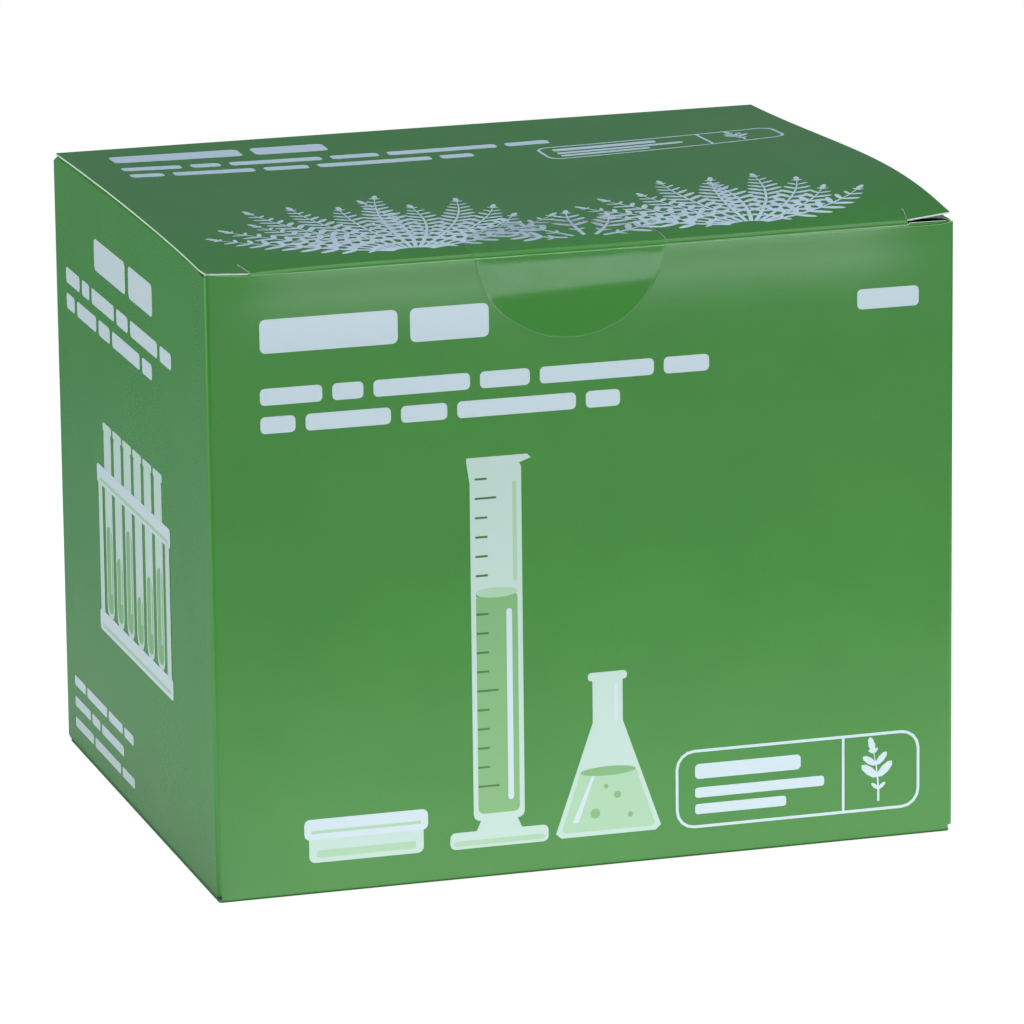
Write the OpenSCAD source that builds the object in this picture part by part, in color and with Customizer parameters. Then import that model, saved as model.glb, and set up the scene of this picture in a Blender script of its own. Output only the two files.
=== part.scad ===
// Sealed folding carton: a reverse-tuck box of printed boxboard, full of
// nested trays, with a round clear seal over the edge of its tuck lid.
// The origin is at the middle of the bottom, the front faces -Y and +Z is up.

/* [Carton] */
// Width of the front panel, over the creases
carton_w = 196; // [140:1:260]
// Depth of the side panels, from front to back
carton_d = 159; // [110:1:220]
// Height from the bottom panel to the back crease of the lid
carton_h = 162; // [90:1:240]

/* [Board] */
// Thickness of the boxboard
board_t = 0.5; // [0.4:0.05:0.8]
// Outer radius of every crease
crease_r = 1.2; // [1:0.1:1.8]
// Air between two layers of board that lie on each other
layer_gap = 0.15; // [0.1:0.05:0.3]

/* [Tuck closures] */
// How far each side edge of the lid and bottom stands back from the side panels
lid_inset = 0.6; // [0.3:0.1:1.5]
// Length of the slit lock at each end of a tuck crease
slit_len = 12; // [6:0.5:20]
// Setback of the free strip beyond a slit from the panel's face
strip_setback = 1.2; // [0.8:0.1:2]
// Length of the cut that runs back from the inner end of each slit
nick_len = 7.5; // [3:0.5:12]
// Width of that cut
nick_w = 0.35; // [0.3:0.05:0.6]
// Angle at which that cut leans outwards
nick_lean = 10; // [0:1:30]
// Drop of a closed panel's free edge below the lid's crease
edge_drop = 1.4; // [1.2:0.1:2.5]
// Setback of the glued panel's raw edge from the back face
seam_setback = 0.7; // [0.4:0.1:1.5]
// Reach of each dust flap under the lid
dust_reach = 68; // [40:1:90]
// Drop of the dust flaps' ends below their creases
dust_dip = 1.6; // [1.2:0.1:4]

/* [Lid bow] */
// Rise of the lid's left edge at its middle
bow_left = 0.8; // [0.2:0.1:2]
// Rise of the lid's right edge at its highest
bow_right = 4.3; // [1:0.1:6]
// Lift of the lid's front right corner
corner_lift = 1.3; // [0.3:0.1:2.5]
// Sag of the lid's middle between the dust flaps
lid_sag = 1.2; // [0.2:0.1:1.5]
// Drop of the front crease below the back crease
front_sink = 0.5; // [0:0.1:1.5]

/* [Seal] */
// Diameter of the round seal
seal_d = 50.8; // [30:0.1:80]
// Thickness of the seal's film
seal_t = 0.1; // [0.08:0.01:0.3]
// Bed of adhesive between the film and the board
seal_bed = 0.06; // [0.04:0.01:0.15]
// Place of the seal's centre to the right of the carton's middle
seal_x = -3.5; // [-30:0.5:30]
// Distance of the seal's centre behind the crease, measured over the board
seal_back = 2; // [0:0.5:10]

/* [Hidden] */

half_w = carton_w / 2;
half_d = carton_d / 2;
lid_half_w = half_w - lid_inset;
slit_x = half_w - slit_len;
// Where the side panels' creases lie, one layer of board inside the lid and the bottom
side_top = carton_h - board_t - layer_gap;
side_low = board_t + layer_gap;
// The tuck crease, seen from the side: its tangent on the lid and its level
tuck_y = half_d - board_t - crease_r;
tuck_z = carton_h - front_sink;
front_edge_z = tuck_z - edge_drop;
strip_y = half_d - strip_setback;
// Exponents of the lid's long arch, which is highest towards the front
arch_rise = 1.35;
arch_fall = 4;
arch_top = pow(1 / (1 + arch_fall / arch_rise), 1 / arch_fall);
sink_power = 2.5;
lift_power = 10;
left_power = 4;
right_power = 3;
// Stations of the lid's surface, across and from back to front
lid_steps = 30;
lid_xs = concat([-lid_half_w], [for (i = [0:12]) slit_x * (i / 6 - 1)], [lid_half_w]);
lid_ys = [for (j = [0:lid_steps]) half_d - crease_r - (half_d - crease_r + strip_y) * j / lid_steps];
// The seal's bend, which clears both the crease and the front panel's free edge
bend_r = min(edge_drop, crease_r + board_t);
seal_r = seal_d / 2;
bend_len = bend_r * PI / 2;

function clamp01(v) = max(0, min(1, v));

// Arch of the lid's right edge from 0 at the back to 1 at its top and 0 at the front
function arch(t) = pow(t, arch_rise) * (1 - pow(t, arch_fall))
    / (pow(arch_top, arch_rise) * (1 - pow(arch_top, arch_fall)));

// Height of the lid's upper face at x and y
function lid_z(x, y) =
    let (
        t = clamp01((half_d - crease_r - y) / (half_d - crease_r + tuck_y)),
        u = clamp01((x + lid_half_w) / (2 * lid_half_w)),
        beyond_slit = clamp01((x - slit_x) / (lid_half_w - slit_x)),
        hump = 4 * t * (1 - t),
        mid = -lid_sag * hump
    )
    carton_h + mid
    + (bow_left * hump - mid) * pow(1 - u, left_power)
    + (bow_right * arch(t) - mid) * pow(u, right_power)
    + corner_lift * beyond_slit * pow(t, lift_power)
    - front_sink * pow(t, sink_power);

// A closed sheet between two grids of points, each a list of rows of equal length
module sheet(upper, lower) {
    rows = len(upper);
    cols = len(upper[0]);
    n = rows * cols;
    points = concat([for (row = upper) each row], [for (row = lower) each row]);
    function at(j, i) = j * cols + i;
    polyhedron(points, concat(
        [for (j = [0:rows - 2], i = [0:cols - 2]) each [
            [at(j, i), at(j, i + 1), at(j + 1, i)],
            [at(j, i + 1), at(j + 1, i + 1), at(j + 1, i)],
            [n + at(j, i), n + at(j + 1, i), n + at(j, i + 1)],
            [n + at(j, i + 1), n + at(j + 1, i), n + at(j + 1, i + 1)]]],
        [for (i = [0:cols - 2]) each [
            [at(0, i), n + at(0, i), n + at(0, i + 1), at(0, i + 1)],
            [at(rows - 1, i), at(rows - 1, i + 1), n + at(rows - 1, i + 1), n + at(rows - 1, i)]]],
        [for (j = [0:rows - 2]) each [
            [at(j, 0), at(j + 1, 0), n + at(j + 1, 0), n + at(j, 0)],
            [at(j, cols - 1), n + at(j, cols - 1), n + at(j + 1, cols - 1), at(j + 1, cols - 1)]]]
    ));
}

// A bar along X with the outline given in Y and Z
module bar_x(length) {
    rotate([90, 0, 90]) linear_extrude(length, center = true) children();
}

// A bar along Y with the outline given in X and Z
module bar_y(length) {
    rotate([90, 0, 0]) linear_extrude(length, center = true) children();
}

// Side panels and dust flaps in one loop, filled with the packed trays
module sides_and_trays() {
    bar_y(carton_d - 2 * crease_r) {
        difference() {
            translate([-half_w + crease_r, side_low])
                square([carton_w - 2 * crease_r, side_top - side_low]);
            // The dust flaps dip towards the middle, under the lid
            polygon([[-half_w + crease_r, side_top], [dust_reach - half_w, side_top - dust_dip],
                [half_w - dust_reach, side_top - dust_dip], [half_w - crease_r, side_top],
                [half_w - crease_r, side_top + 1], [crease_r - half_w, side_top + 1]]);
        }
        for (x = [-half_w, half_w - 2 * crease_r])
            translate([x, side_low + crease_r])
                square([2 * crease_r, side_top - side_low - 2 * crease_r]);
        for (x = [-1, 1], z = [side_low + crease_r, side_top - crease_r])
            translate([x * (half_w - crease_r), z]) circle(crease_r, $fn = 48);
    }
}

// Front and back panels, each with a crease at one end and a free edge at the other
module front_and_back() {
    inner_w = carton_w - 2 * crease_r;
    translate([-inner_w / 2, -half_d, crease_r])
        cube([inner_w, 2 * crease_r, front_edge_z - crease_r]);
    translate([-inner_w / 2, half_d - 2 * crease_r, edge_drop])
        cube([inner_w, 2 * crease_r, carton_h - crease_r - edge_drop]);
}

// Upright creases: three round ones, and the glued seam at the back right
module corners() {
    height = side_top - side_low - 2 * crease_r;
    for (p = [[-1, -1], [1, -1], [-1, 1]])
        translate([p[0] * (half_w - crease_r), p[1] * (half_d - crease_r), side_low + crease_r])
            cylinder(height, r = crease_r, $fn = 48);
    // The back panel turns inside the right panel, whose raw edge stops short of it
    translate([half_w - board_t - crease_r, half_d - crease_r, side_low + crease_r])
        cylinder(height, r = crease_r, $fn = 48);
    translate([half_w - board_t, half_d - 2 * crease_r, side_low + crease_r])
        cube([board_t, 2 * crease_r - seam_setback, height]);
}

// Quarter-round crease of a lid or bottom panel where it joins its own wall
module hinge_crease() {
    bar_x(2 * slit_x) difference() {
        translate([half_d - 2 * crease_r, -2 * crease_r]) square(2 * crease_r);
        translate([half_d - crease_r, -crease_r]) square(crease_r);
    }
    bar_x(2 * lid_half_w) {
        translate([half_d - crease_r, -crease_r]) circle(crease_r, $fn = 48);
        translate([half_d - 2 * crease_r, -2 * crease_r]) square([2 * crease_r, crease_r]);
    }
}

// Tuck crease between the slits, with the flap going down behind the wall
module tuck_crease() {
    bar_x(2 * slit_x) {
        translate([tuck_y, -crease_r]) circle(crease_r, $fn = 48);
        translate([tuck_y - 2 * crease_r, -board_t])
            square([2 * crease_r, board_t]);
        translate([tuck_y - crease_r, -3 * crease_r])
            square([2 * crease_r, 2 * crease_r]);
    }
}

// The cut behind each inner end of a slit, which lets the strip stay up
module nicks() {
    for (side = [-1, 1])
        translate([side * slit_x, -strip_y, carton_h])
            rotate([0, 0, -side * nick_lean])
                translate([-nick_w / 2, -crease_r, -3])
                    cube([nick_w, nick_len + crease_r, 8]);
}

module lid() {
    upper = [for (y = lid_ys) [for (x = lid_xs) [x, y, lid_z(x, y)]]];
    lower = [for (row = upper) [for (p = row) [p[0], p[1], p[2] - board_t]]];
    difference() {
        sheet(upper, lower);
        translate([-slit_x, -half_d, front_edge_z])
            cube([2 * slit_x, half_d - tuck_y, carton_h]);
        nicks();
    }
    translate([0, 0, tuck_z]) mirror([0, 1, 0]) tuck_crease();
    translate([0, 0, carton_h]) hinge_crease();
}

// Flat twin of the lid, hinged on the front panel and tucked behind the back one
module bottom() {
    difference() {
        translate([-lid_half_w, -half_d + crease_r, 0])
            cube([2 * lid_half_w, half_d - crease_r + strip_y, board_t]);
        translate([-slit_x, tuck_y, -1]) cube([2 * slit_x, carton_d, 2]);
    }
    mirror([0, 0, 1]) tuck_crease();
    mirror([0, 0, 1]) mirror([0, 1, 0]) hinge_crease();
}

module carton() {
    color("forestgreen") {
        sides_and_trays();
        front_and_back();
        corners();
        lid();
        bottom();
    }
}

// Point of the seal's face at x and at s along the board, lifted by h from the board.
// s is 0 at the middle of the bend, positive over the lid.
function seal_point(x, s, h) =
    let (bend = s / bend_len + 0.5)
    bend < 0 ? [x, -half_d - h, tuck_z - bend_r + s + bend_len / 2]
    : bend > 1 ? let (y = -half_d + bend_r + s - bend_len / 2) [x, y, lid_z(x, y) + h]
    : [x, -half_d + bend_r - (bend_r + h) * cos(90 * bend),
        tuck_z - bend_r + (bend_r + h) * sin(90 * bend)];

// Half of the seal's width at s
function seal_half(s) = sqrt(max(0, pow(seal_r, 2) - pow(s - seal_back, 2)));

// Stations along the seal: even turns of its rim, with extra ones over the bend
function seal_stations(low, high, n) =
    let (a = asin((low - seal_back) / seal_r), b = asin((high - seal_back) / seal_r))
    [for (i = [0:n]) seal_back + seal_r * sin(a + (b - a) * i / n)];

module wafer_seal() {
    end = seal_r * sin(86);
    stations = concat(
        seal_stations(seal_back - end, -bend_len * 0.6, 14),
        [for (i = [0:6]) bend_len * (i / 6 - 0.5)],
        seal_stations(bend_len * 0.6, seal_back + end, 18));
    cols = 12;
    function row(s, h) = [for (i = [0:cols]) seal_point(seal_x + seal_half(s) * (2 * i / cols - 1), s, h)];
    color("lightgreen")
        sheet([for (s = stations) row(s, seal_bed + seal_t)], [for (s = stations) row(s, seal_bed)]);
}

carton();
wafer_seal();
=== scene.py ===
import math

import bmesh
import bpy
from mathutils import Matrix, Vector


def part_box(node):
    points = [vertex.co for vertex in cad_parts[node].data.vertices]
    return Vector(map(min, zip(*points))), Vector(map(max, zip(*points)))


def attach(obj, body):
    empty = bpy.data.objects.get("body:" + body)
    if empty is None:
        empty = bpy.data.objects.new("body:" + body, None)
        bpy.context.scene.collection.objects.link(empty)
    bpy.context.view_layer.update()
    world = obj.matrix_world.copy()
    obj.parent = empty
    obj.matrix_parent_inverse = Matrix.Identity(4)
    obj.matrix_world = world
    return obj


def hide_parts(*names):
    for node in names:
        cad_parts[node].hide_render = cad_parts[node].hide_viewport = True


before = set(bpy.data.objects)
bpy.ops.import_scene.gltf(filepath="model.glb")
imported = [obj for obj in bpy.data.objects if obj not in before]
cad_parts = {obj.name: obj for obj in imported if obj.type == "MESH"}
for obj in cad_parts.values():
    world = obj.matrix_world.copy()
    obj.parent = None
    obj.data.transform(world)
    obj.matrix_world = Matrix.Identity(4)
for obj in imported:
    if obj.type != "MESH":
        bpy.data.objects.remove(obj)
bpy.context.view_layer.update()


# ---------------------------------------------------------------- camera
# A long lens a little to the left of the carton and above it, so that the front, the left side and the lid
# all show. It is tipped by less than a degree.
view_distance = 1.9365
view_azimuth, view_elevation, view_roll = math.radians(-16.823), math.radians(14.174), math.radians(-0.651)
aim = Vector((0.0035, -0.0025, 0.07455))
lens = bpy.data.cameras.new("studio_camera")
lens.sensor_width, lens.lens = 36.0, 259.94
camera = bpy.data.objects.new("studio_camera", lens)
bpy.context.scene.collection.objects.link(camera)
turned = (Matrix.Rotation(view_azimuth, 4, "Z") @ Matrix.Rotation(math.pi / 2 - view_elevation, 4, "X")
          @ Matrix.Rotation(view_roll, 4, "Z"))
camera.matrix_world = Matrix.Translation(aim) @ turned @ Matrix.Translation((0, 0, view_distance))
bpy.context.scene.camera = camera
bpy.context.scene.view_settings.view_transform = "Standard"


# ---------------------------------------------------------------- studio
# A white table with the carton in its middle, soft lamps round it, and a room that the ink's varnish mirrors:
# grey all round, with a bright wall before the carton, behind the camera.
class Wire:
    """A socket in a node tree that can be used in sums, or the bare tree before its first node."""

    def __init__(self, tree, socket=None):
        self.tree, self.socket = tree, socket

    def node(self, kind, settings, values, output=0):
        """Adds a node, sets it up, fills or links its sockets, and gives one of its outputs."""
        made = self.tree.nodes.new(kind)
        for name, value in settings.items():
            setattr(made, name, value)
        for name, value in values.items():
            if isinstance(value, Wire):
                self.tree.links.new(value.socket, made.inputs[name])
            else:
                made.inputs[name].default_value = value
        return Wire(self.tree, made.outputs[output]) if made.outputs else None

    def maths(self, operation, first, second=0.0):
        return self.node("ShaderNodeMath", {"operation": operation}, {0: first, 1: second})

    def __add__(self, other):
        return self.maths("ADD", self, other)

    def __mul__(self, other):
        return self.maths("MULTIPLY", self, other)

    def __sub__(self, other):
        return self.maths("SUBTRACT", self, other)

    def __rsub__(self, other):
        return self.maths("SUBTRACT", other, self)

    def __pow__(self, power):
        return self.maths("POWER", self, power)

    def __abs__(self):
        return self.maths("ABSOLUTE", self)

    __radd__, __rmul__ = __add__, __mul__

    def at_most(self, limit):
        return self.maths("MINIMUM", self, limit)

    def at_least(self, limit):
        return self.maths("MAXIMUM", self, limit)

    def ramp(self, low, high):
        """0 up to low, 1 from high on, and smooth between them."""
        return self.node("ShaderNodeMapRange", {"interpolation_type": "SMOOTHSTEP"},
                         {"Value": self, "From Min": low, "From Max": high})

    def part(self, name):
        """X, Y or Z of a vector."""
        return self.node("ShaderNodeSeparateXYZ", {}, {0: self}, name)

    def tint(self, first, second):
        """The first colour where this is 0, the second where it is 1."""
        return self.node("ShaderNodeMix", {"data_type": "RGBA"}, {0: self, 6: first, 7: second}, 2)


def empty_tree(owner):
    owner.use_nodes = True
    owner.node_tree.nodes.clear()
    return Wire(owner.node_tree)


room = bpy.data.worlds.new("studio_room")
bpy.context.scene.world = room
tree = empty_tree(room)
seen = tree.node("ShaderNodeLightPath", {}, {}, "Is Camera Ray")
way = tree.node("ShaderNodeTexCoord", {}, {}, "Generated")
rise, ahead, aside = way.part("Z"), 0 - way.part("Y"), way.part("X")
# the bright wall's feather edges, as parts of a direction: its foot and its top, then its sides
bright = rise.ramp(-0.135, -0.07) * (1 - rise.ramp(0.08, 0.14)) * ahead.ramp(0.2, 0.4)
bright = bright * aside.ramp(-0.2, 0) * (1 - aside.ramp(0.54, 0.7)) * (0.9 + 0.15 * aside.ramp(0.2, 0.36))
grey_room, bright_wall, white_room = (0.125, 0.15, 0.185, 1), (8.1, 8.2, 8.8, 1), (1, 1, 1, 1)
shown = seen.tint(bright.tint(grey_room, bright_wall), white_room)
background = tree.node("ShaderNodeBackground", {}, {"Color": shown, "Strength": 1.0})
tree.node("ShaderNodeOutputWorld", {}, {"Surface": background})


def soft_lamp(name, place, towards, size, power):
    lamp = bpy.data.lights.new(name, "AREA")
    lamp.shape, lamp.size, lamp.size_y = "RECTANGLE", size[0], size[1]
    lamp.energy = power
    holder = bpy.data.objects.new(name, lamp)
    facing = (Vector(towards) - Vector(place)).to_track_quat("-Z", "Y")
    holder.matrix_world = Matrix.Translation(place) @ facing.to_matrix().to_4x4()
    bpy.context.scene.collection.objects.link(holder)


# the side lamps stay below the lid, whose varnish would mirror a higher one in a low view from across
soft_lamp("top_softbox", (0.1, -0.3, 1.4), (0, 0, 0.1), (2.4, 2.0), 24.0)
soft_lamp("left_strip", (-2.18, 0.31, 0.08), (0, 0, 0.08), (1.6, 0.4), 45.0)
soft_lamp("right_strip", (1.9, -1.1, 0.06), (0, 0, 0.08), (1.3, 0.3), 8.0)
soft_lamp("back_strip", (1.5, 1.6, 0.06), (0, 0, 0.08), (1.3, 0.3), 15.0)


def white_paper():
    """Paper that takes the carton's shadow. It looks white, and throws a pool of light on the foot of the
    front and a weaker one on that of the left side. It is dark under the carton."""
    material = bpy.data.materials.new("white_table_top")
    tree = empty_tree(material)
    seen = tree.node("ShaderNodeLightPath", {}, {}, "Is Camera Ray")
    place = tree.node("ShaderNodeTexCoord", {}, {}, "Object")
    to_left, to_front = 0 - place.part("X"), 0 - place.part("Y")
    front_light, left_light, looks_white = 1.55, 0.2, 0.9
    past_corner = to_left.ramp(0.096, 0.099) * (1 - to_front.ramp(0.083, 0.095) * 0.6)
    front_pool = to_front.ramp(0.079, 0.0805) * (1 - to_front.ramp(0.09, 0.35)) * (1 - past_corner)
    left_pool = to_left.ramp(0.098, 0.101) * to_front.ramp(-0.5, -0.1) * (
        1 - to_left.ramp(0.105, 0.15) * 0.55 - to_left.ramp(0.25, 0.45) * 0.45)
    thrown = front_pool * front_light + left_pool * left_light
    covered = (1 - abs(to_left).ramp(0.0966, 0.0974)) * (1 - abs(to_front).ramp(0.0782, 0.0788))
    paper = tree.node("ShaderNodeBsdfDiffuse", {}, {"Color": (0.23, 0.26, 0.32, 1)})
    glow = tree.node("ShaderNodeEmission", {}, {
        "Strength": seen * (1 - covered) * looks_white + (1 - seen) * thrown})
    lit = tree.node("ShaderNodeAddShader", {}, {0: paper, 1: glow})
    tree.node("ShaderNodeOutputMaterial", {}, {"Surface": lit})
    return material


table_size, table_drop = 1.0, 0.0001
flat = bmesh.new()
bmesh.ops.create_grid(flat, x_segments=1, y_segments=1, size=table_size / 2)
bmesh.ops.translate(flat, verts=flat.verts, vec=(0, 0, -table_drop))
table_mesh = bpy.data.meshes.new("table_top")
flat.to_mesh(table_mesh)
flat.free()
table_mesh.materials.append(white_paper())
table = bpy.data.objects.new("table_top", table_mesh)
bpy.context.scene.collection.objects.link(table)


# ---------------------------------------------------------------- carton
# One die-cut sheet of white boxboard, printed green and varnished on its outside, creased, folded up, and
# glued along the flap at the back right corner. The lid hangs on the back panel and tucks in at the front
# between two slits; the bottom is its twin and hangs on the front panel. It is cut flat here, then folded.
mm = 0.001
half_w, half_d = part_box("carton")[1].xy
height = 162 * mm
board = 0.5 * mm
crease = 1.2 * mm
layer_gap = 0.15 * mm
lid_inset = 0.6 * mm
slit_x = half_w - 12 * mm
strip_setback = 1.2 * mm
nick_length, nick_width, nick_lean = 7.5 * mm, 0.35 * mm, math.tan(math.radians(10))
edge_drop = 1.4 * mm
seam_setback = 0.7 * mm
front_sink = 0.62 * mm
glue_flap, tuck_flap, dust_flap = 14 * mm, 18 * mm, 68 * mm
glue_line = 0.05 * mm
quarter = crease * math.pi / 2
side_low, side_top = board + layer_gap, height - board - layer_gap
wall_low, wall_top = side_low + crease, side_top - crease
tuck_y = half_d - board - crease
# places on the sheet this near count as one: those set alike, and those worked out in two ways
same, near = 1e-7, 1e-6


class Run:
    """The way board runs over its creases, seen edge on. Lengths are taken along the printed face, which is
    on the right, and every crease turns it a quarter to the left."""
    slack = 1e-9

    def __init__(self, start, point, heading, lengths):
        self.spans, point, heading = [], Vector(point), math.radians(heading)
        for number, length in enumerate(lengths):
            self.spans.append((start, point, heading, 0))
            point, start = self.at(start + length)[0], start + length
            if number < len(lengths) - 1:
                self.spans.append((start, point, heading, 1 / crease))
                point, start = self.at(start + quarter)[0], start + quarter
                heading += math.pi / 2
        self.end = start

    def at(self, distance, end_flap=False):
        """The point of the printed face at a distance along the run, and the way that this face looks. The
        straight board of an end flap may also be followed back past its crease."""
        start, point, heading, curl = [
            s for s in self.spans if s[0] <= distance + self.slack or s is self.spans[0]][-1]
        if end_flap:
            start, point, heading, curl = self.spans[-1 if distance > 0 else 0]
        gone = distance - start
        if not curl:
            ahead = Vector((math.cos(heading), math.sin(heading)))
            return point + ahead * gone, Vector((ahead.y, -ahead.x))
        first, last = (Vector((math.sin(a), -math.cos(a))) for a in (heading, heading + gone * curl))
        return point + (last - first) / curl, last


lid_length = half_d - crease + tuck_y
glued_x = half_w - board - glue_line
wrap = Run(0, (glued_x, half_d - crease - glue_flap), 90, [
    glue_flap, glued_x + half_w - 2 * crease, 2 * (half_d - crease), 2 * (half_w - crease),
    2 * half_d - crease - seam_setback])
runs = {
    "back": Run(edge_drop, (0, edge_drop), 90, [height - crease - edge_drop, lid_length, tuck_flap]),
    "left": Run(wall_low - quarter - dust_flap, (-crease - dust_flap, side_low), 0,
                [dust_flap, wall_top - wall_low, dust_flap]),
    "front": Run(crease - 2 * quarter - lid_length - tuck_flap, (board - 2 * half_d, crease + tuck_flap), 270,
                 [tuck_flap, lid_length, height - front_sink - edge_drop - crease])}
runs["right"] = runs["left"]
starts = [span[0] for span in wrap.spans]
middles = {"back": starts[2] + glued_x - crease, "left": starts[4] + half_d - crease,
           "front": starts[6] + half_w - crease, "right": starts[8] + half_d - crease}
reaches = {"back": half_w - crease, "left": half_d - crease,
           "front": half_w - crease, "right": half_d - crease}
lid_root, bottom_root = height - crease, crease
strip_edge = lid_root + quarter + lid_length + crease + board - strip_setback


def clamp(value):
    return min(max(value, 0), 1)


def gone_back(y):
    """0 at the lid's back crease, 1 at its front crease."""
    return clamp((half_d - crease - y) / lid_length)


# the lid's bow, in millimetres: its edges rise, its middle sags, and it swells again behind its front crease
bow_left, bow_right, lid_sag, front_swell = 0.8, 4.28, 1.2, 1.2
arch_rise, arch_fall, arch_peak = 1.35, 4, 0.4696
right_spring, left_hold = 0.25, 0.6


def lid_height(x, y):
    """How high the lid's printed face stands: it bows up to the right, sags between, and is held down in
    front, most of all at the front left."""
    gone = gone_back(y)
    across = clamp((x / (half_w - lid_inset) + 1) / 2)
    hump = 4 * gone * (1 - gone)
    arch = gone ** arch_rise * (1 - gone ** arch_fall) / arch_peak
    sag = -lid_sag * hump
    rise = sag + (bow_left * hump - sag) * (1 - across) ** 4 + (bow_right * arch - sag) * across ** 3
    rise += front_swell * 4 * gone ** 5 * (1 - gone ** 5) * clamp(across * 8) * (1 - across ** 3)
    on_right, on_left = clamp((x - 20 * mm) / (60 * mm)), clamp((-60 * mm - x) / (26 * mm))
    rise += (right_spring * on_right - left_hold * on_left ** 1.5) * gone ** 12
    return height + rise * mm - front_sink * gone ** 2.5


tight_gap, looser_by = 0.1 * mm, 0.4 * mm


def tuck_gap(x):
    """How far the tuck flap stands behind the front panel: close on the left, looser to the right."""
    return tight_gap + looser_by * clamp((x + 20 * mm) / (100 * mm))


corner_lift = 1.3 * mm
left_strip_low, left_strip_rise, right_strip_rise = -0.05 * mm, 0.8 * mm, 0.15 * mm
strip_length = 11.4 * mm


def strip_lift(along, gone):
    """How far the strip beside a slit stands off the lid. The left one tips up at its outer end; the right
    one is sprung up along with the lid's corner."""
    left = along > 0
    back = strip_edge - gone
    beyond = abs(along) - slit_x - back * nick_lean
    lift = 0
    if not left:
        outward = clamp((abs(along) - slit_x) / (half_w - lid_inset - slit_x))
        lift = corner_lift * outward * clamp(1 - back / lid_length) ** 10
    if back < nick_length and beyond > same:
        ease = (1 - back / nick_length) ** 1.3
        tip = left_strip_low + left_strip_rise * beyond / strip_length if left else right_strip_rise
        lift += ease * tip
    return lift


press_depth, press_edge = 0.72 * mm, 0.12 * mm
press_from, press_height, press_end = 141 * mm, 21 * mm, 96 * mm


def press(x, z):
    """How far the top of the front leans back between its corners, where the tuck flap draws it in."""
    up, across = clamp((z - press_from) / press_height), clamp((press_end - abs(x)) / (20 * mm))
    lean = press_depth * (1 - math.cos(math.pi / 2 * up)) + press_edge * up ** 12
    return lean * across ** 2 * (3 - 2 * across)


side_bow = 0.65 * mm


def side_rise(y, z):
    """How much higher than its ends the top of the left side stands, under the bow of the lid."""
    gone = gone_back(y)
    return side_bow * 4 * gone * (1 - gone) * clamp((z - 120 * mm) / (42 * mm)) ** 2


def in_corner(along):
    """Whether a place along the sheet is in one of the two upright creases beside the front panel."""
    return near < abs(along - middles["front"]) - reaches["front"] < quarter - near


wall_dish = 0.15 * mm


def fold_wall(name, along, up, lift):
    """The place of a point of the walls or the glue flap. The walls dish in a little between their edges."""
    (x, y), (nx, ny) = wrap.at(along)
    aside = abs(along - middles[name])
    dish = wall_dish * clamp(10 - 10 * aside / reaches[name]) * clamp(up / height * 25) * clamp(
        25 - up / height * 25)
    inset = lift - dish if along > starts[2] else lift
    y += press(x, up) if name == "front" and ny < -0.5 else 0
    return Vector((x + nx * inset, y + ny * inset, up + (side_rise(y, up) if name == "left" else 0)))


def fold_flap(name, aside, up, lift):
    """The place of a point of the lid, the bottom, or a tuck or dust flap; aside is how far it lies to one
    side of the middle."""
    (x, y), (nx, ny) = wrap.at(middles[name])
    ear = abs(aside) > slit_x + near and (up > strip_edge + near or up < -lid_length - crease)
    (out, level), (turn_out, turn_up) = runs[name].at(up, ear)
    place = Vector((x - ny * aside + nx * out, y + nx * aside + ny * out, level))
    if up > height / 2 and name == "back":
        place.z = level + lid_height(place.x, place.y) - height
        if lid_root < up < strip_edge + near:
            place.z += strip_lift(aside, up)
        drawn_in = press(place.x, min(place.z, height)) + tuck_gap(place.x)
        place.y += drawn_in * clamp(gone_back(place.y) * 4 - 3) ** 2
    elif up > height / 2:
        level += side_rise(place.y, height) if name == "left" else 0
        place.z = min(level, lid_height(place.x, place.y) - board - layer_gap)
    return place + Vector((nx * turn_out, ny * turn_out, turn_up)) * lift


def fold(along, up, lift):
    """The place in the folded carton of a point of the flat sheet."""
    name = min(middles, key=lambda n: max(0, abs(along - middles[n]) - reaches[n]))
    to_front_edge = up > height / 2 and (name == "front" or in_corner(along))
    if wall_low - near <= up <= wall_top + near or to_front_edge:
        return fold_wall(name, along, up, lift)
    return fold_flap(name, along - middles[name], up, lift)


def stations(first, last, step):
    """Levels from first on, two close to each end and the others evenly between; last isn't among them."""
    sign = math.copysign(mm, last - first)
    after, before = first + 2 * sign, last - 2 * sign
    count = max(1, round(abs(before - after) / step))
    between = [after + (before - after) * i / count for i in range(count + 1)]
    return [first, first + 0.3 * sign] + between + [last - 0.3 * sign]


def crease_rows(start, sign=1):
    return [start + sign * quarter * i / 6 for i in range(6)]


def pull(sheet, edges, axis, stops):
    """Draws the sheet on from some of its edges, through each stop in turn along x (0) or y (1)."""
    for stop in stops:
        drawn = bmesh.ops.extrude_edge_only(sheet, edges=edges)["geom"]
        for vert in (g for g in drawn if isinstance(g, bmesh.types.BMVert)):
            vert.co[axis] = stop
        edges = [g for g in drawn if isinstance(g, bmesh.types.BMEdge)
                 and all(abs(v.co[axis] - stop) < near for v in g.verts)]


def border(sheet, axis, level, first, last):
    """The sheet's free edges at one level of an axis, between two places on the other."""
    return [e for e in sheet.edges if e.is_boundary and all(
        abs(v.co[axis] - level) < same and first - same <= v.co[1 - axis] <= last + same for v in e.verts)]


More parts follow.
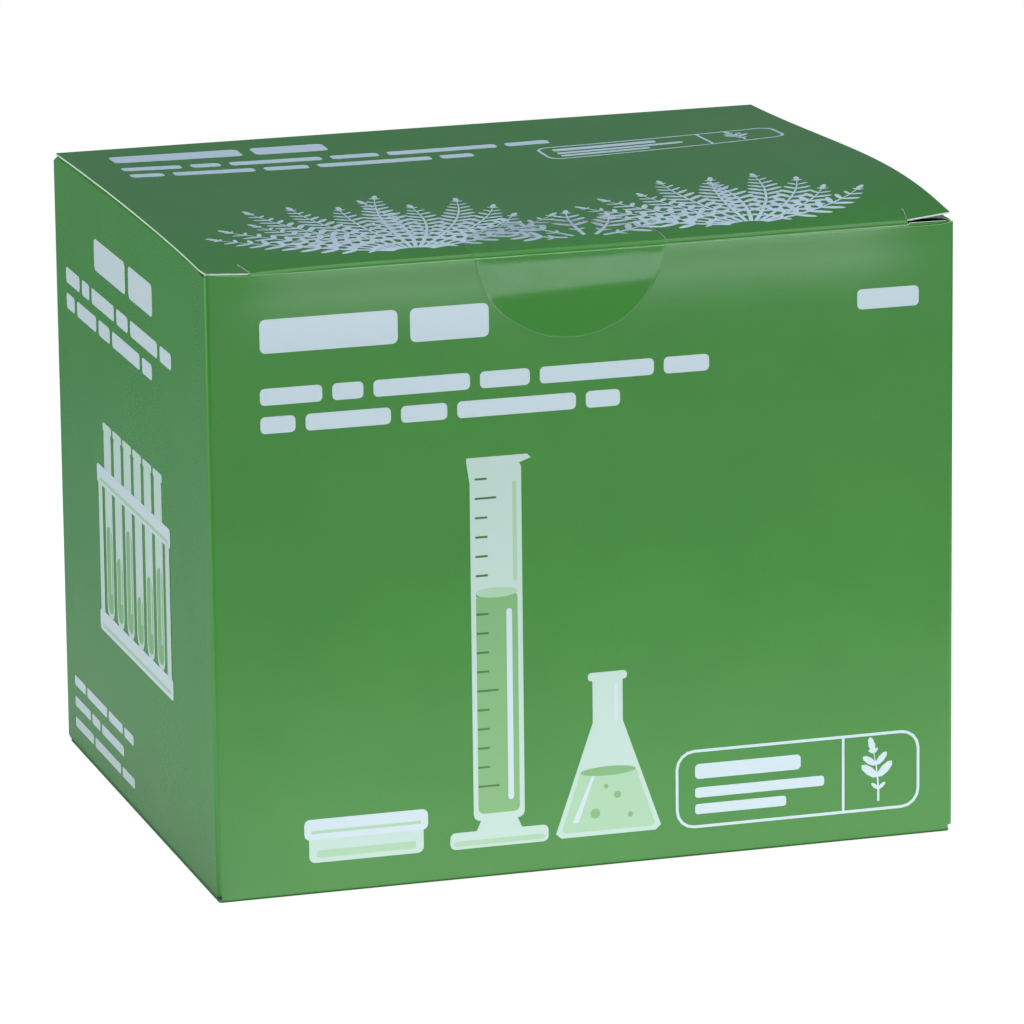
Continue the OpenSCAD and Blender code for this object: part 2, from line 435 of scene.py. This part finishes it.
def wall_columns():
    """Where the walls are divided along the sheet: closely over the creases, and at the ends of the slits."""
    places = []
    for number, start in enumerate(starts):
        end = starts[number + 1] if number + 1 < len(starts) else wrap.end
        places += crease_rows(start) if number % 2 else stations(start, end, 5.5 * mm)
    places.append(wrap.end)
    for edge in (middles[n] + side * slit_x for n in ("back", "front") for side in (-1, 1)):
        places[places.index(min(places, key=lambda c: abs(c - edge)))] = edge
    return places


fine_from = 100 * mm
columns = wall_columns()
rows = stations(wall_low, fine_from, 7 * mm) + stations(fine_from, wall_top, 2.4 * mm) + [wall_top]
left_corner_rise, right_corner_rise = 1.1 * mm, 0.6 * mm


def flat_walls():
    """The walls and the glue flap, flat. The front panel's free edge rises into its two corners."""
    made = bmesh.new()
    bmesh.ops.create_grid(made, x_segments=len(columns) - 1, y_segments=len(rows) - 1, size=1)
    for vert in made.verts:
        vert.co.x = columns[round((vert.co.x + 1) / 2 * (len(columns) - 1))]
        vert.co.y = rows[round((vert.co.y + 1) / 2 * (len(rows) - 1))]
        aside, reach = vert.co.x - middles["front"], reaches["front"]
        if vert.co.y > wall_top - same and abs(aside) < reach + quarter - same:
            from_left, to_right = max(0, reach + aside), max(0, reach - aside)
            vert.co.y += left_corner_rise * math.exp(-from_left / (5 * mm))
            vert.co.y += right_corner_rise * math.exp(-to_right / mm)
    return made


def add_dust_flaps(sheet, name):
    """The two dust flaps of a side panel, which are cut a little narrower than it and taper to their ends."""
    middle, reach = middles[name], reaches[name]
    for start, sign in ((wall_top, 1), (wall_low, -1)):
        flat = start + sign * quarter
        end = flat + sign * dust_flap
        pull(sheet, border(sheet, 1, start, middle - reach, middle + reach), 1,
             crease_rows(start, sign)[1:] + stations(flat, end, 6 * mm) + [end])
    for vert in sheet.verts:
        beyond = max(vert.co.y - wall_top, wall_low - vert.co.y)
        if abs(vert.co.x - middle) <= reach + near and beyond > same:
            inset = 0.3 * mm + min(beyond, 5 * mm) * 0.8 + beyond * 0.08
            vert.co.x = middle + (vert.co.x - middle) * (1 - inset / reach)


ear_reach, ear_rise = 96.4 * mm, 0.5 * mm


def add_ear(sheet, middle, tuck, sign, side):
    """The ear of a tuck flap, which reaches on behind the slit."""
    def at_slit(vert):
        return abs(vert.co.x - middle - side * slit_x) < same and (vert.co.y - tuck) * sign > quarter - same

    ends = [e for e in sheet.edges if e.is_boundary and all(at_slit(v) for v in e.verts)]
    pull(sheet, ends, 0, [middle + side * x for x in (slit_x + 0.6 * mm, slit_x + 4 * mm, ear_reach)])
    for vert in sheet.verts:
        at_edge = abs((vert.co.y - tuck) * sign - quarter) < near
        if at_edge and side * (vert.co.x - middle) > slit_x + 0.5 * mm:
            vert.co.y -= sign * ear_rise


def add_closure(sheet, name, edge, root, sign, spare):
    """The lid, or the bottom with a sign of -1: its panel, its tuck flap and its ears. Spare is the room that
    it leaves for the glue flap. Gives the levels at which it is divided."""
    middle, flat = middles[name], root + sign * quarter
    tuck = flat + sign * lid_length
    strip = tuck + sign * (crease + board - strip_setback)
    nick_end = strip - sign * nick_length
    levels = crease_rows(root, sign) + stations(flat, nick_end, 4 * mm) + stations(nick_end, tuck, 3 * mm)
    levels += [tuck, strip]
    pull(sheet, border(sheet, 1, edge, middle - reaches[name] + spare, middle + reaches[name]), 1, levels)
    below = [s for s in crease_rows(tuck, sign) if (s - strip) * sign > near] + [
        tuck + sign * (quarter + length) for length in (0, tuck_flap / 2, tuck_flap)]
    pull(sheet, border(sheet, 1, strip, middle - slit_x, middle + slit_x), 1, below)
    for side in (-1, 1):
        add_ear(sheet, middle, tuck, sign, side)
    for vert in sheet.verts:
        aside = vert.co.x - middle
        on_panel = (vert.co.y - root) * sign > same and (vert.co.y - strip) * sign < same
        if on_panel and slit_x + near < abs(aside) < half_w:
            limit = reaches[name] - (spare if aside < 0 else 0)
            wide = slit_x + (abs(aside) - slit_x) * (half_w - lid_inset - slit_x) / (limit - slit_x)
            share = clamp((vert.co.y - root) * sign / quarter)
            vert.co.x = middle + math.copysign(abs(aside) + (wide - abs(aside)) * share, aside)
    return levels + below


def cut_nick(sheet, side):
    """The short leaning cut that runs back into the lid from the inner end of a slit."""
    middle = middles["back"]
    for vert in sheet.verts:
        back = strip_edge - vert.co.y
        if abs(side * (vert.co.x - middle) - slit_x) < near and -near < back < lid_length:
            vert.co.x += side * nick_lean * min(back, nick_length) * clamp(1.3 - back / (25 * mm))

    def on_nick(vert, length):
        back = strip_edge - vert.co.y
        off_line = side * (vert.co.x - middle) - slit_x - back * nick_lean
        return abs(off_line) < 2 * near and -near < back < length

    cut = [e for e in sheet.edges if all(on_nick(v, nick_length + near) for v in e.verts)]
    bmesh.ops.split_edges(sheet, edges=cut)
    lips = {}
    for vert in (v for v in sheet.verts if on_nick(v, nick_length - near)):
        outer = sum((f.calc_center_median().x - vert.co.x) * side for f in vert.link_faces) > 0
        lips[vert] = side * nick_width / 2 * (1 if outer else -1)
    for vert, shift in lips.items():
        vert.co.x += shift


printed, plain, cut_edge, light_green_edge, white_edge = range(5)


def finish_of(face):
    """Which of the carton's materials a face of the thickened sheet gets. The bottom's cut edges take the
    green ink, a painted shade that darkens the line along the carton's foot; the front panel's upper cut edge
    is light green, and those beside the lid's slits are white."""
    along, up = face.calc_center_median().xy
    if abs(face.normal.z) < 0.5:
        from_front, from_back = abs(along - middles["front"]), abs(along - middles["back"])
        # the bottom's cut edges get the green ink as a painted shade along the foot; the front's upper cut
        # edge is light green
        if from_front < half_w and not wall_low <= up <= wall_top:
            return printed if up < wall_low else light_green_edge
        at_slit = abs(face.normal.y) > 0.5 or from_back < slit_x + 4 * mm
        return white_edge if from_back < half_w and up > strip_edge - nick_length and at_slit else cut_edge
    side_flap = any(abs(along - middles[n]) < reaches[n] for n in ("left", "right")) and not (
        wall_low - quarter < up < wall_top + quarter)
    return plain if face.normal.z < 0 or side_flap or along < glue_flap else printed


sheet = flat_walls()
add_dust_flaps(sheet, "left")
add_dust_flaps(sheet, "right")
lid_rows = add_closure(sheet, "back", wall_top, lid_root, 1, board + glue_line)
add_closure(sheet, "front", wall_low, bottom_root, -1, 0)
for side in (-1, 1):
    cut_nick(sheet, side)
bmesh.ops.recalc_face_normals(sheet, faces=sheet.faces)
if sheet.faces[0].normal.z < 0:
    bmesh.ops.reverse_faces(sheet, faces=sheet.faces)
bmesh.ops.solidify(sheet, geom=sheet.faces[:], thickness=board)
sheet.normal_update()
for face in sheet.faces:
    face.smooth = True
    face.material_index = finish_of(face)
for vert in sheet.verts:
    vert.co = fold(*vert.co)
sheet.normal_update()
for edge in sheet.edges:
    edge.smooth = edge.calc_face_angle(0) < math.radians(30)


def finished(name, mesh_source, materials):
    """Makes a piece of a bmesh, at the origin, that rides on the carton's one body."""
    mesh = bpy.data.meshes.new(name)
    mesh_source.to_mesh(mesh)
    mesh_source.free()
    piece = bpy.data.objects.new(name, mesh)
    bpy.context.scene.collection.objects.link(piece)
    for material in materials:
        mesh.materials.append(material)
    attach(piece, "root")
    return piece


varnish_roughness, board_gloss, ink_gloss = 0.21, 0.3, 0.05


def sheen(name, colour, roughness, coat, grain):
    """A plain paper-like finish with fine fibres in its bump and a little unevenness in its roughness."""
    material = bpy.data.materials.new(name)
    tree = empty_tree(material)
    place = tree.node("ShaderNodeTexCoord", {}, {}, "Object")
    fibres = tree.node("ShaderNodeTexNoise", {}, {"Vector": place, "Scale": 2600.0, "Detail": 3.0})
    patches = tree.node("ShaderNodeTexNoise", {}, {"Vector": place, "Scale": 90.0, "Detail": 2.0})
    bump = tree.node("ShaderNodeBump", {}, {"Height": fibres, "Strength": grain, "Distance": 0.02 * mm})
    surface = tree.node("ShaderNodeBsdfPrincipled", {}, {
        "Base Color": colour, "Roughness": roughness - 0.05 + 0.1 * patches, "Normal": bump,
        "Specular IOR Level": ink_gloss if coat else board_gloss, "Coat Weight": coat,
        "Coat Roughness": varnish_roughness})
    tree.node("ShaderNodeOutputMaterial", {}, {"Surface": surface})
    return material


seal_x, seal_back, seal_radius = -3.5 * mm, 2.9 * mm, 25.4 * mm
front_top = height - front_sink - edge_drop
seal_start = front_top + edge_drop * math.pi / 4


def green_ink():
    """Green ink under varnish, a little uneven. Where the seal is stuck on, its glue takes the varnish's
    gloss, and the green there is painted slightly lighter: painted light that makes up for the light the film
    holds back."""
    material = bpy.data.materials.new("varnished_green_ink")
    tree = empty_tree(material)
    place = tree.node("ShaderNodeTexCoord", {}, {}, "Object")
    fibres = tree.node("ShaderNodeTexNoise", {}, {"Vector": place, "Scale": 1500.0, "Detail": 3.0})
    patches = tree.node("ShaderNodeTexNoise", {}, {"Vector": place, "Scale": 45.0, "Detail": 3.0})
    below = place.part("Z") - seal_start
    behind = place.part("Y") + (half_d - edge_drop + edge_drop * math.pi / 4)
    across, over = place.part("X") - seal_x, below.at_most(0.0) + behind.at_least(0.0) - seal_back
    off_seal = (across * across + over * over).ramp((seal_radius - 0.2 * mm) ** 2, seal_radius ** 2)
    stuck = (1 - off_seal) * place.part("Z").ramp(0.5 * height, 0.6 * height)
    bump = tree.node("ShaderNodeBump", {}, {"Height": fibres, "Strength": 0.05, "Distance": 0.02 * mm})
    depth = patches * 0.6 + fibres * 0.4
    colour = depth.ramp(0.3, 0.7).tint((0.033, 0.192, 0.021, 1), (0.039, 0.208, 0.024, 1))
    # painted light: the green under the seal is lighter, to make up for the light that the film holds back
    colour = stuck.tint(colour, (0.0395, 0.218, 0.0255, 1))
    surface = tree.node("ShaderNodeBsdfPrincipled", {}, {
        "Base Color": colour, "Roughness": 0.55 + 0.1 * patches, "Normal": bump,
        "Specular IOR Level": ink_gloss, "Coat Weight": 1 - 0.9 * stuck, "Coat Roughness": varnish_roughness})
    tree.node("ShaderNodeOutputMaterial", {}, {"Surface": surface})
    return material


carton = finished("folded_carton", sheet, [
    green_ink(),
    sheen("white_board_inside", (0.58, 0.60, 0.57, 1), 0.75, 0.0, 0.5),
    sheen("cut_board_edge", (0.40, 0.53, 0.38, 1), 0.8, 0.0, 0.6),
    # the front panel's upper cut edge, coloured light green
    sheen("light_green_cut_edge", (0.26, 0.60, 0.23, 1), 0.8, 0.0, 0.6),
    # the cut edges beside the lid's slits, coloured white where the other cut edges are a greyer green
    sheen("white_board_cut_edge", (0.78, 0.85, 0.76, 1), 0.8, 0.0, 0.6)])
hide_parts("carton")


# ---------------------------------------------------------------- front print
# The front's design, printed in white and pale tints and varnished with the rest: heavy bars, lines of bars,
# a badge, and a still life of a measuring cylinder, a flask and a dish. A tint is a thin film on the board.
white, pale, light, medium, deep = range(5)
tints = [sheen(name, colour, 0.6, 1.0, 0.3) for name, colour in (
    ("varnished_white_print", (0.50, 0.60, 0.62, 1)),
    ("varnished_pale_tint", (0.44, 0.58, 0.50, 1)),
    ("varnished_light_tint", (0.33, 0.52, 0.33, 1)),
    ("varnished_middle_tint", (0.17, 0.37, 0.14, 1)),
    ("varnished_deep_tint", (0.045, 0.16, 0.035, 1)))]
lid_zero = lid_root + quarter + half_d - crease


class Artwork:
    """A flat drawing in millimetres. It is cut along the board's own stations, thickened and folded."""
    film, first_level, layer_step, shape_step, shape_levels = 0.03, 0.035, 0.018, 0.001, 14

    def __init__(self):
        self.flat, self.tint, self.layer, self.count = bmesh.new(), white, 0, 0

    def use(self, tint, layer):
        """The tint that the next shapes are printed in, and how many tints lie under it."""
        self.tint, self.layer = tint, layer

    def ink(self, verts):
        """Gives a shape its tint, and a level of its own so that it can cross others of its layer."""
        self.count += 1
        for vert in verts:
            vert.co.z = (self.first_level + self.layer_step * self.layer
                         + self.shape_step * (self.count % self.shape_levels))
        for face in {f for v in verts for f in v.link_faces}:
            face.material_index = self.tint

    def bar(self, left, middle, width, tall, rounding=None):
        """A bar with round corners, from its left end."""
        made = bmesh.ops.create_grid(self.flat, x_segments=1, y_segments=1, size=0.5)["verts"]
        bmesh.ops.scale(self.flat, verts=made, vec=(width, tall, 1))
        bmesh.ops.translate(self.flat, verts=made, vec=(left + width / 2, middle, 0))
        rounding = min(width, tall) * 0.28 if rounding is None else rounding
        if rounding:
            rounded = bmesh.ops.bevel(self.flat, geom=made, affect="VERTICES", offset=rounding, segments=4,
                                      profile=0.5, material=-1)
            made = rounded["verts"]
        self.ink(made)
        return made

    def line_of_bars(self, left, middle, tall, widths, gap=2.6):
        for width in widths:
            self.bar(left, middle, width, tall)
            left += width + gap

    def outline(self, left, middle, width, tall, rounding, stroke):
        """The outline of a bar with round corners."""
        made = self.bar(left, middle, width, tall, rounding)
        inner = {f for v in made for f in v.link_faces}
        bmesh.ops.inset_region(self.flat, faces=list(inner), thickness=stroke, use_boundary=True)
        bmesh.ops.delete(self.flat, geom=list(inner), context="FACES_ONLY")

    def oval(self, x, y, width, tall, turn=0.0, sides=24):
        made = bmesh.ops.create_circle(self.flat, cap_ends=True, segments=sides, radius=0.5)["verts"]
        bmesh.ops.scale(self.flat, verts=made, vec=(width, tall, 1))
        bmesh.ops.rotate(self.flat, verts=made, matrix=Matrix.Rotation(turn, 3, "Z"))
        bmesh.ops.translate(self.flat, verts=made, vec=(x, y, 0))
        self.ink(made)

    def patch(self, *corners):
        """A patch with straight sides, its corners given anticlockwise."""
        made = [self.flat.verts.new((x, y, 0)) for x, y in corners]
        self.flat.faces.new(made)
        self.ink(made)

    def leaf(self, x, y, length, width, turn):
        """A leaf that grows from a point."""
        middle = Vector((x, y)) + Vector((math.cos(turn), math.sin(turn))) * length / 2
        self.oval(middle.x, middle.y, length, width, turn, 8)

    def sprig(self, x, y, length, turn, bend, leaves, leaf_length, leaf_width, stroke=0.5):
        """A stem that bends as it grows, with leaves in pairs and one at its tip."""
        step = length / leaves
        for number in range(leaves):
            ahead = Vector((math.cos(turn), math.sin(turn)))
            aside = Vector((-ahead.y, ahead.x)) * stroke / 2 * (1.2 - number / leaves)
            start, end = Vector((x, y)), Vector((x, y)) + ahead * step * 1.04
            self.patch(start - aside, end - aside, end + aside, start + aside)
            size = math.sin(math.pi * (0.16 + 0.74 * (number + 1) / leaves)) if number else 0.45
            for side in (-1, 1):
                self.leaf(end.x, end.y, leaf_length * size, leaf_width * size, turn + side * 0.85)
            x, y, turn = end.x, end.y, turn + bend / leaves
        self.leaf(x, y, leaf_length * 0.8, leaf_width * 0.8, turn)

    def badge(self, left, bottom, width, tall):
        """A rounded outline with a field for a sprig on its right and three bars on its left."""
        self.use(white, 0)
        split = left + width * 0.68
        self.outline(left, bottom + tall / 2, width, tall, tall * 0.24, 0.75)
        self.bar(split, bottom + tall / 2, 0.7, tall - 1.4, 0)
        for level, share, thick in ((0.72, 0.72, 0.19), (0.45, 0.88, 0.13), (0.24, 0.62, 0.13)):
            self.bar(left + tall * 0.25, bottom + tall * level, width * 0.6 * share, tall * thick)
        self.sprig(split + width * 0.15, bottom + tall * 0.12, tall * 0.6, math.pi / 2, 0.25, 4,
                   tall * 0.27, tall * 0.11)

    def fold_on(self, name, panel, inks):
        """Cuts, thickens and folds the drawing into a piece. On the lid it is read from the front."""
        flat, middle = self.flat, middles[panel]
        lid = panel == "back"
        along_cuts = [c - middle for c in columns if abs(c - middle) < reaches[panel] + quarter]
        up_cuts = [lid_zero - r for r in lid_rows] if lid else rows
        for axis, cuts in ((0, along_cuts), (1, up_cuts)):
            low = min(v.co[axis] for v in flat.verts) * mm
            high = max(v.co[axis] for v in flat.verts) * mm
            for cut in (c for c in cuts if low < c < high):
                bmesh.ops.bisect_plane(flat, geom=flat.verts[:] + flat.edges[:] + flat.faces[:], dist=1e-5,
                                       plane_co=(cut / mm,) * 3, plane_no=(1 - axis, axis, 0))
        flat.normal_update()
        bmesh.ops.reverse_faces(flat, faces=[f for f in flat.faces if f.normal.z < 0])
        bmesh.ops.solidify(flat, geom=flat.faces[:], thickness=self.film)
        for vert in flat.verts:
            x, y, lift = vert.co * mm
            vert.co = fold(middle - x, lid_zero - y, lift) if lid else fold(middle + x, y, lift)
        for face in flat.faces:
            face.smooth = False
        return finished(name, flat, inks)


def measuring_cylinder(art, x, tube):
    """Its foot, its tube with a pouring lip, the liquid in it, its scale and its shine."""
    left, right, top = x - tube / 2, x + tube / 2, 109.6
    art.use(pale, 0)
    art.bar(x - 13, 10.2, 26, 4.4, 1.4)
    art.patch((x - 6, 12.4), (x + 6, 12.4), (x + 4.4, 16), (x - 4.4, 16))
    art.bar(left, 61.5, tube, 93, 1.8)
    art.patch((left, 103), (right + 2.6, 108.6), (right + 1.6, top), (left - 0.8, top), (left - 0.8, 108.4))
    art.use(medium, 1)
    art.bar(left + 1.3, 45.5, tube - 2.6, 57.4, 1.4)
    art.use(light, 2)
    art.oval(x, 74.4, tube - 2.6, 2.6)
    art.use(light, 1)
    art.bar(x - 12, 9.4, 24, 1.3, 0.6)
    art.bar(right - 2.4, 90, 1.1, 26, 0.5)
    art.use(deep, 2)
    for mark in range(17):
        art.bar(left + 1.3, 24 + 5 * mark, 5.6 if mark % 5 == 0 else 3.2, 0.55, 0)
    art.use(white, 2)
    art.bar(right - 4.3, 45, 1.5, 50, 0.7)


def flask(art, x):
    """A cone with a neck and lip, its liquid, bubbles and shine."""
    art.use(pale, 0)
    art.patch((x - 14, 9.5), (x - 12.6, 8.2), (x + 12.6, 8.2), (x + 14, 9.5), (x + 4, 38), (x - 4, 38))
    art.bar(x - 4, 43, 8, 13, 0.6)
    art.bar(x - 5.2, 50, 10.4, 2.2, 0.9)
    art.use(light, 1)
    art.patch((x - 12.4, 10.1), (x - 11.6, 9.4), (x + 11.6, 9.4), (x + 12.4, 10.1), (x + 7.4, 25),
              (x - 7.4, 25))
    art.use(medium, 2)
    art.oval(x, 25, 14.8, 2.4)
    for right, up, size in ((-3.5, 14, 2.6), (2.4, 18.5, 1.9), (5.8, 13, 1.4), (-0.6, 21, 1.2)):
        art.oval(x + right, up, size, size, 0, 12)
    art.use(white, 2)
    art.patch((x - 9.6, 12), (x - 8, 12), (x - 3.6, 24), (x - 4.4, 24))
    art.bar(x + 1.6, 43, 1.1, 10, 0.5)


def dish(art, left):
    """A shallow dish with its lid on."""
    art.use(pale, 0)
    art.bar(left + 1.2, 12.1, 30, 7.8, 1.6)
    art.use(white, 1)
    art.bar(left, 16.9, 32.4, 5.4, 1.5)
    art.use(light, 2)
    art.bar(left + 1.8, 16.2, 28.8, 0.8, 0.3)
    art.bar(left + 3.2, 10.4, 26, 1.8, 0.7)


long_line, short_line = (16, 8, 25, 13, 30, 12), (9, 22, 12, 31, 9)
front_art = Artwork()
front_art.bar(-84.3, 144.7, 35.5, 8.6, 1.5)
front_art.bar(-45.6, 144.7, 20.4, 8.6, 1.5)
front_art.line_of_bars(-84.5, 129.4, 4.3, long_line)
front_art.line_of_bars(-84.5, 122.2, 4.3, short_line)
front_art.bar(72, 142.4, 16.5, 5.2, 1.2)
front_art.badge(23, 7.5, 66, 20.8)
measuring_cylinder(front_art, -24, 13.5)
flask(front_art, 5)
dish(front_art, -75.2)
front_art.fold_on("front_print", "front", tints)


# ---------------------------------------------------------------- left side print
# The left side's design, printed as the front's is: heavy bars, two lines, a rack with six test tubes, and
# three small lines at its foot.
def test_tube(art, left, level):
    """A tube with its rim, its liquid up to a level, and its shine."""
    art.use(pale, 0)
    art.bar(left, 73, 7.6, 52, 3.4)
    art.bar(left - 0.8, 98.4, 9.2, 2.2, 0.8)
    art.use(medium, 1)
    art.bar(left + 0.9, (48.5 + level) / 2, 5.8, level - 48.5, 2.6)
    art.use(white, 2)
    art.bar(left + 4.8, 72, 0.9, 36, 0.4)


def tube_rack(art):
    """Two rails before the tubes, each with a line of shade, and a post at either end."""
    art.use(white, 3)
    art.bar(-38.5, 84.4, 77, 5.2, 1.2)
    art.bar(-38.5, 44.6, 77, 5.6, 1.2)
    art.use(light, 4)
    art.bar(-36, 83.2, 72, 1.0, 0.4)
    art.bar(-36, 43.4, 72, 1.0, 0.4)
    art.use(pale, 3)
    art.bar(-37.2, 64.6, 4.2, 36, 0.6)
    art.bar(33, 64.6, 4.2, 36, 0.6)


side_art = Artwork()
side_art.bar(-36, 143.2, 33, 8.4, 1.5)
side_art.bar(0.5, 143.2, 24.5, 8.4, 1.5)
side_art.line_of_bars(-68, 131.4, 4.2, (15, 8, 24, 12, 28, 11.5))
side_art.line_of_bars(-68, 124.4, 4.2, (9, 21, 12, 29, 10))
for level, widths in ((19.4, (12, 22, 15, 10)), (13.6, (17, 9, 24)), (7.8, (20, 28, 13))):
    side_art.line_of_bars(-70, level, 2.7, widths, 1.8)
for number, level in enumerate((72, 66, 76, 61, 69, 74)):
    test_tube(side_art, -30.4 + number * 10.6, level)
tube_rack(side_art)
side_art.fold_on("left_side_print", "left", tints)


# ---------------------------------------------------------------- lid print
# The lid's design, in white only: heavy bars and two lines along its back, a badge, and ferns that fan out
# from three roots on the front fold.
def fern(art, root, fronds, reach):
    """Fronds that fan out from a root, the longest in the middle, and curve inwards to their tips."""
    for number in range(fronds):
        share = number / (fronds - 1)
        turn = math.radians(17 + 146 * share)
        length = reach * (0.72 + 0.28 * math.sin(math.pi * share)) * (1.0, 0.82, 0.93)[number % 3]
        bend = 0.7 * (1 if share < 0.5 else -1) * (0.4 + abs(share - 0.5))
        start = Vector((root + 5 * math.cos(turn), -72 + 2 * math.sin(turn)))
        art.sprig(start.x, start.y, length, turn, bend, max(5, round(length / 4.4)), 6.4, 1.9, 0.9)


lid_art = Artwork()
lid_art.bar(-86, 63, 35, 8.4, 1.5)
lid_art.bar(-47.5, 63, 20, 8.4, 1.5)
lid_art.line_of_bars(-86.5, 49.5, 4.3, long_line)
lid_art.line_of_bars(-86.5, 40.5, 4.3, short_line)
lid_art.badge(24, 26, 66, 16)
for root, fronds, reach in ((46, 11, 50), (-42, 13, 62), (3, 5, 26)):
    fern(lid_art, root, fronds, reach)
# painted light: the same white ink as the front's, made lighter and bluer here because the lid gets less
# light than the front
lid_white = sheen("varnished_white_lid_print", (0.58, 0.72, 0.86, 1), 0.6, 1.0, 0.3)
lid_art.fold_on("lid_print", "back", [lid_white])


# ---------------------------------------------------------------- seal
# A round seal of thin clear film, die-cut and stuck over the front edge, half on the lid and half on the
# front. It bridges the rounded edge and lies flat only below a line, above which it pulls towards the lid.
seal_bed, seal_film, rim_width = 0.06 * mm, 0.1 * mm, 0.3 * mm
bend = edge_drop * math.pi / 2
flat_line, pull_back = 150 * mm, 0.062


def line_height(x):
    """How far above or below its middle the line runs where the film leaves the board."""
    return (0.048 * x / mm + 0.16 * math.sin(x / mm * 0.42) + 0.12 * math.sin(x / mm * 1.1 + 2)) * mm


def wrap_film(x, along, lift):
    """The place of a point of the flat film; along is 0 in the middle of the bend, less on the front."""
    drawn = pull_back * (front_top - flat_line - line_height(x))
    if along < -bend / 2:
        level = front_top + along + bend / 2
        line = flat_line + line_height(x)
        level += line_height(x) * clamp(1 - abs(level - flat_line) / (7 * mm))
        return Vector((x, -half_d - lift + pull_back * max(0, level - line), level))
    if along > bend / 2:
        y = edge_drop - half_d + along - bend / 2
        return Vector((x, y + drawn * clamp(gone_back(y) * 4 - 3) ** 2, lid_height(x, y) + lift))
    turn = (along / bend + 0.5) * math.pi / 2
    reach = edge_drop + lift
    sunk = lid_height(x, edge_drop - half_d) - (height - front_sink)
    return Vector((x, edge_drop - half_d - reach * math.cos(turn) + drawn,
                   front_top + reach * math.sin(turn) + sunk * math.sin(turn)))


film = bmesh.new()
bmesh.ops.create_circle(film, cap_ends=True, segments=128, radius=seal_radius)
bmesh.ops.translate(film, verts=film.verts, vec=(seal_x, seal_back, 0))
bmesh.ops.inset_region(film, faces=film.faces[:], thickness=rim_width, use_boundary=True)
flat_stop = flat_line - seal_start
cuts = [(0, seal_x + i * 2.5 * mm) for i in range(-10, 11)]
cuts += [(1, (i / 6 - 0.5) * bend) for i in range(7)] + [(1, flat_stop + i * 2 * mm) for i in range(-5, 6)]
cuts += [(1, bend / 2 + i * 3 * mm) for i in range(1, 9)]
for axis, cut in cuts:
    bmesh.ops.bisect_plane(film, geom=film.verts[:] + film.edges[:] + film.faces[:], dist=near,
                           plane_co=(cut, cut, 0), plane_no=(1 - axis, axis, 0))
film.normal_update()
bmesh.ops.reverse_faces(film, faces=[f for f in film.faces if f.normal.z < 0])
bmesh.ops.solidify(film, geom=film.faces[:], thickness=seal_film)
film.normal_update()
for face in film.faces:
    centre = face.calc_center_median() - Vector((seal_x, seal_back, 0))
    rim = centre.xy.length > seal_radius - 0.25 * mm
    face.material_index = 2 if face.normal.z < -0.5 else 1 if rim else 0
    face.smooth = abs(face.normal.z) > 0.5
for vert in film.verts:
    vert.co = wrap_film(vert.co.x, vert.co.y, seal_bed + seal_film + vert.co.z)


def clear_film(name, whiteness, roughness):
    """Clear film: what is under it shows through, and its face mirrors the room, more so at a low angle."""
    material = bpy.data.materials.new(name)
    tree = empty_tree(material)
    place = tree.node("ShaderNodeTexCoord", {}, {}, "Object")
    swell = tree.node("ShaderNodeTexNoise", {}, {"Vector": place, "Scale": 160.0, "Detail": 1.0})
    bump = tree.node("ShaderNodeBump", {}, {"Height": swell, "Strength": 0.2, "Distance": 0.0001})
    face = tree.node("ShaderNodeBsdfPrincipled", {}, {
        "Base Color": (0.95, 0.97, 1, 1), "Metallic": 1.0, "Roughness": roughness + 0.05 * swell,
        "Normal": bump})
    through = tree.node("ShaderNodeBsdfTransparent", {}, {})
    slant = tree.node("ShaderNodeLayerWeight", {}, {"Blend": 0.5, "Normal": bump}, "Facing")
    mixed = tree.node("ShaderNodeMixShader", {}, {0: slant ** 5.0 * 0.98 + whiteness, 1: through, 2: face})
    tree.node("ShaderNodeOutputMaterial", {}, {"Surface": mixed})
    return material


def glue_side():
    """The film's underside: clear glue with a faint milky cloud in it."""
    material = bpy.data.materials.new("clear_glue_side")
    tree = empty_tree(material)
    place = tree.node("ShaderNodeTexCoord", {}, {}, "Object")
    cloud = tree.node("ShaderNodeTexNoise", {}, {"Vector": place, "Scale": 400.0, "Detail": 2.0})
    through = tree.node("ShaderNodeBsdfTransparent", {}, {})
    milk = tree.node("ShaderNodeBsdfDiffuse", {}, {"Color": (0.6, 0.65, 0.6, 1)})
    mixed = tree.node("ShaderNodeMixShader", {}, {0: cloud * 0.02, 1: through, 2: milk})
    tree.node("ShaderNodeOutputMaterial", {}, {"Surface": mixed})
    return material


seal = finished("clear_seal", film, [
    clear_film("clear_seal_film", 0.0206, 0.07),
    clear_film("cut_film_rim", 0.035, 0.4),
    glue_side()])
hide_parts("wafer_seal")
